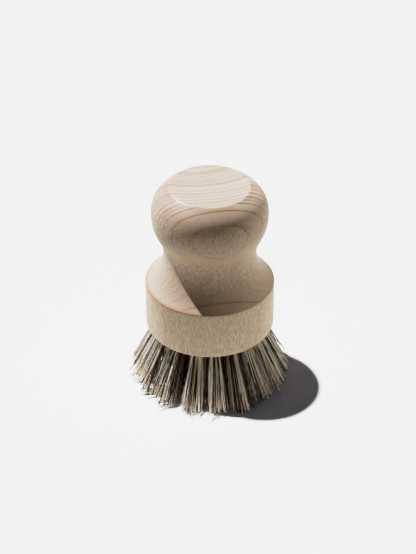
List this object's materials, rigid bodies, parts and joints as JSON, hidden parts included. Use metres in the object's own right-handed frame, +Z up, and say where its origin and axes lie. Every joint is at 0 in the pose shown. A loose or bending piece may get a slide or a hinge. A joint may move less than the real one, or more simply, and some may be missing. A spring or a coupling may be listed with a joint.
{
  "type": "dish brush",
  "caption": "Round dish and pot brush: turned wooden stock with a palm knob over a waist and a straight rim, drilled below for rings of stiff natural-fibre tufts that splay outwards.",
  "frame": {"origin": "centre of the plane of the cut bristle tips, on the brush's turning axis", "axes": "+Z up the turning axis from the tips to the knob, +X to the right and -Y towards the viewer"},
  "size_m": [0.0768, 0.077, 0.1],
  "materials": {
    "turned_beech": "turned, sanded and lightly oiled beech with fine pore flecks",
    "union_fibre": "mixed straw-coloured and dark brown plant fibres, cut level",
    "anchor_wire": "drawn, galvanised flat wire"
  },
  "bodies": {
    "stock": {"beech_stock": "turned_beech", "tuft_anchors": "anchor_wire", "tuft_centre": "union_fibre"},
    "outer_tuft_01": {"tuft_outer_01": "union_fibre"},
    "outer_tuft_02": {"tuft_outer_02": "union_fibre"},
    "outer_tuft_03": {"tuft_outer_03": "union_fibre"},
    "outer_tuft_04": {"tuft_outer_04": "union_fibre"},
    "outer_tuft_05": {"tuft_outer_05": "union_fibre"},
    "outer_tuft_06": {"tuft_outer_06": "union_fibre"},
    "outer_tuft_07": {"tuft_outer_07": "union_fibre"},
    "outer_tuft_08": {"tuft_outer_08": "union_fibre"},
    "outer_tuft_09": {"tuft_outer_09": "union_fibre"},
    "outer_tuft_10": {"tuft_outer_10": "union_fibre"},
    "outer_tuft_11": {"tuft_outer_11": "union_fibre"},
    "outer_tuft_12": {"tuft_outer_12": "union_fibre"},
    "outer_tuft_13": {"tuft_outer_13": "union_fibre"},
    "outer_tuft_14": {"tuft_outer_14": "union_fibre"},
    "outer_tuft_15": {"tuft_outer_15": "union_fibre"},
    "outer_tuft_16": {"tuft_outer_16": "union_fibre"},
    "outer_tuft_17": {"tuft_outer_17": "union_fibre"},
    "inner_tuft_01": {"tuft_inner_01": "union_fibre"},
    "inner_tuft_02": {"tuft_inner_02": "union_fibre"},
    "inner_tuft_03": {"tuft_inner_03": "union_fibre"},
    "inner_tuft_04": {"tuft_inner_04": "union_fibre"},
    "inner_tuft_05": {"tuft_inner_05": "union_fibre"},
    "inner_tuft_06": {"tuft_inner_06": "union_fibre"},
    "inner_tuft_07": {"tuft_inner_07": "union_fibre"},
    "inner_tuft_08": {"tuft_inner_08": "union_fibre"}
  },
  "joints": [
    {"name": "outer_splay_01", "type": "hinge", "parent": "stock", "child": "outer_tuft_01", "pos_m": [0.02244, 0, 0.0238], "axis": [0, -1, 0], "range_deg": [0, 15], "stiffness_Nm_per_rad": 0.04, "deforming": ["tuft_outer_01"]},
    {"name": "outer_splay_02", "type": "hinge", "parent": "stock", "child": "outer_tuft_02", "pos_m": [0.02092, 0.00811, 0.0238], "axis": [0.3612, -0.9325, 0], "range_deg": [0, 15], "stiffness_Nm_per_rad": 0.04, "deforming": ["tuft_outer_02"]},
    {"name": "outer_splay_03", "type": "hinge", "parent": "stock", "child": "outer_tuft_03", "pos_m": [0.01658, 0.01512, 0.0238], "axis": [0.6737, -0.739, 0], "range_deg": [0, 15], "stiffness_Nm_per_rad": 0.04, "deforming": ["tuft_outer_03"]},
    {"name": "outer_splay_04", "type": "hinge", "parent": "stock", "child": "outer_tuft_04", "pos_m": [0.01, 0.02009, 0.0238], "axis": [0.8952, -0.4457, 0], "range_deg": [0, 15], "stiffness_Nm_per_rad": 0.04, "deforming": ["tuft_outer_04"]},
    {"name": "outer_splay_05", "type": "hinge", "parent": "stock", "child": "outer_tuft_05", "pos_m": [0.00207, 0.02234, 0.0238], "axis": [0.9957, -0.0923, 0], "range_deg": [0, 15], "stiffness_Nm_per_rad": 0.04, "deforming": ["tuft_outer_05"]},
    {"name": "outer_splay_06", "type": "hinge", "parent": "stock", "child": "outer_tuft_06", "pos_m": [-0.00614, 0.02158, 0.0238], "axis": [0.9618, 0.2737, 0], "range_deg": [0, 15], "stiffness_Nm_per_rad": 0.04, "deforming": ["tuft_outer_06"]},
    {"name": "outer_splay_07", "type": "hinge", "parent": "stock", "child": "outer_tuft_07", "pos_m": [-0.01352, 0.01791, 0.0238], "axis": [0.798, 0.6026, 0], "range_deg": [0, 15], "stiffness_Nm_per_rad": 0.04, "deforming": ["tuft_outer_07"]},
    {"name": "outer_splay_08", "type": "hinge", "parent": "stock", "child": "outer_tuft_08", "pos_m": [-0.01908, 0.01181, 0.0238], "axis": [0.5264, 0.8502, 0], "range_deg": [0, 15], "stiffness_Nm_per_rad": 0.04, "deforming": ["tuft_outer_08"]},
    {"name": "outer_splay_09", "type": "hinge", "parent": "stock", "child": "outer_tuft_09", "pos_m": [-0.02206, 0.00412, 0.0238], "axis": [0.1838, 0.983, 0], "range_deg": [0, 15], "stiffness_Nm_per_rad": 0.04, "deforming": ["tuft_outer_09"]},
    {"name": "outer_splay_10", "type": "hinge", "parent": "stock", "child": "outer_tuft_10", "pos_m": [-0.02206, -0.00412, 0.0238], "axis": [-0.1838, 0.983, 0], "range_deg": [0, 15], "stiffness_Nm_per_rad": 0.04, "deforming": ["tuft_outer_10"]},
    {"name": "outer_splay_11", "type": "hinge", "parent": "stock", "child": "outer_tuft_11", "pos_m": [-0.01908, -0.01181, 0.0238], "axis": [-0.5264, 0.8502, 0], "range_deg": [0, 15], "stiffness_Nm_per_rad": 0.04, "deforming": ["tuft_outer_11"]},
    {"name": "outer_splay_12", "type": "hinge", "parent": "stock", "child": "outer_tuft_12", "pos_m": [-0.01352, -0.01791, 0.0238], "axis": [-0.798, 0.6026, 0], "range_deg": [0, 15], "stiffness_Nm_per_rad": 0.04, "deforming": ["tuft_outer_12"]},
    {"name": "outer_splay_13", "type": "hinge", "parent": "stock", "child": "outer_tuft_13", "pos_m": [-0.00614, -0.02158, 0.0238], "axis": [-0.9618, 0.2737, 0], "range_deg": [0, 15], "stiffness_Nm_per_rad": 0.04, "deforming": ["tuft_outer_13"]},
    {"name": "outer_splay_14", "type": "hinge", "parent": "stock", "child": "outer_tuft_14", "pos_m": [0.00207, -0.02234, 0.0238], "axis": [-0.9957, -0.0923, 0], "range_deg": [0, 15], "stiffness_Nm_per_rad": 0.04, "deforming": ["tuft_outer_14"]},
    {"name": "outer_splay_15", "type": "hinge", "parent": "stock", "child": "outer_tuft_15", "pos_m": [0.01, -0.02009, 0.0238], "axis": [-0.8952, -0.4457, 0], "range_deg": [0, 15], "stiffness_Nm_per_rad": 0.04, "deforming": ["tuft_outer_15"]},
    {"name": "outer_splay_16", "type": "hinge", "parent": "stock", "child": "outer_tuft_16", "pos_m": [0.01658, -0.01512, 0.0238], "axis": [-0.6737, -0.739, 0], "range_deg": [0, 15], "stiffness_Nm_per_rad": 0.04, "deforming": ["tuft_outer_16"]},
    {"name": "outer_splay_17", "type": "hinge", "parent": "stock", "child": "outer_tuft_17", "pos_m": [0.02092, -0.00811, 0.0238], "axis": [-0.3612, -0.9325, 0], "range_deg": [0, 15], "stiffness_Nm_per_rad": 0.04, "deforming": ["tuft_outer_17"]},
    {"name": "inner_splay_01", "type": "hinge", "parent": "stock", "child": "inner_tuft_01", "pos_m": [0.01122, 0, 0.0238], "axis": [0, -1, 0], "range_deg": [0, 7.5], "stiffness_Nm_per_rad": 0.04, "deforming": ["tuft_inner_01"]},
    {"name": "inner_splay_02", "type": "hinge", "parent": "stock", "child": "inner_tuft_02", "pos_m": [0.00793, 0.00793, 0.0238], "axis": [0.7071, -0.7071, 0], "range_deg": [0, 7.5], "stiffness_Nm_per_rad": 0.04, "deforming": ["tuft_inner_02"]},
    {"name": "inner_splay_03", "type": "hinge", "parent": "stock", "child": "inner_tuft_03", "pos_m": [0, 0.01122, 0.0238], "axis": [1, 0, 0], "range_deg": [0, 7.5], "stiffness_Nm_per_rad": 0.04, "deforming": ["tuft_inner_03"]},
    {"name": "inner_splay_04", "type": "hinge", "parent": "stock", "child": "inner_tuft_04", "pos_m": [-0.00793, 0.00793, 0.0238], "axis": [0.7071, 0.7071, 0], "range_deg": [0, 7.5], "stiffness_Nm_per_rad": 0.04, "deforming": ["tuft_inner_04"]},
    {"name": "inner_splay_05", "type": "hinge", "parent": "stock", "child": "inner_tuft_05", "pos_m": [-0.01122, 0, 0.0238], "axis": [0, 1, 0], "range_deg": [0, 7.5], "stiffness_Nm_per_rad": 0.04, "deforming": ["tuft_inner_05"]},
    {"name": "inner_splay_06", "type": "hinge", "parent": "stock", "child": "inner_tuft_06", "pos_m": [-0.00793, -0.00793, 0.0238], "axis": [-0.7071, 0.7071, 0], "range_deg": [0, 7.5], "stiffness_Nm_per_rad": 0.04, "deforming": ["tuft_inner_06"]},
    {"name": "inner_splay_07", "type": "hinge", "parent": "stock", "child": "inner_tuft_07", "pos_m": [0, -0.01122, 0.0238], "axis": [-1, 0, 0], "range_deg": [0, 7.5], "stiffness_Nm_per_rad": 0.04, "deforming": ["tuft_inner_07"]},
    {"name": "inner_splay_08", "type": "hinge", "parent": "stock", "child": "inner_tuft_08", "pos_m": [0.00793, -0.00793, 0.0238], "axis": [-0.7071, -0.7071, 0], "range_deg": [0, 7.5], "stiffness_Nm_per_rad": 0.04, "deforming": ["tuft_inner_08"]}
  ],
  "couplings": [
    {"joint": "outer_splay_02", "follows": "outer_splay_01", "ratio": 1},
    {"joint": "outer_splay_03", "follows": "outer_splay_01", "ratio": 1},
    {"joint": "outer_splay_04", "follows": "outer_splay_01", "ratio": 1},
    {"joint": "outer_splay_05", "follows": "outer_splay_01", "ratio": 1},
    {"joint": "outer_splay_06", "follows": "outer_splay_01", "ratio": 1},
    {"joint": "outer_splay_07", "follows": "outer_splay_01", "ratio": 1},
    {"joint": "outer_splay_08", "follows": "outer_splay_01", "ratio": 1},
    {"joint": "outer_splay_09", "follows": "outer_splay_01", "ratio": 1},
    {"joint": "outer_splay_10", "follows": "outer_splay_01", "ratio": 1},
    {"joint": "outer_splay_11", "follows": "outer_splay_01", "ratio": 1},
    {"joint": "outer_splay_12", "follows": "outer_splay_01", "ratio": 1},
    {"joint": "outer_splay_13", "follows": "outer_splay_01", "ratio": 1},
    {"joint": "outer_splay_14", "follows": "outer_splay_01", "ratio": 1},
    {"joint": "outer_splay_15", "follows": "outer_splay_01", "ratio": 1},
    {"joint": "outer_splay_16", "follows": "outer_splay_01", "ratio": 1},
    {"joint": "outer_splay_17", "follows": "outer_splay_01", "ratio": 1},
    {"joint": "inner_splay_01", "follows": "outer_splay_01", "ratio": 0.5},
    {"joint": "inner_splay_02", "follows": "outer_splay_01", "ratio": 0.5},
    {"joint": "inner_splay_03", "follows": "outer_splay_01", "ratio": 0.5},
    {"joint": "inner_splay_04", "follows": "outer_splay_01", "ratio": 0.5},
    {"joint": "inner_splay_05", "follows": "outer_splay_01", "ratio": 0.5},
    {"joint": "inner_splay_06", "follows": "outer_splay_01", "ratio": 0.5},
    {"joint": "inner_splay_07", "follows": "outer_splay_01", "ratio": 0.5},
    {"joint": "inner_splay_08", "follows": "outer_splay_01", "ratio": 0.5}
  ]
}
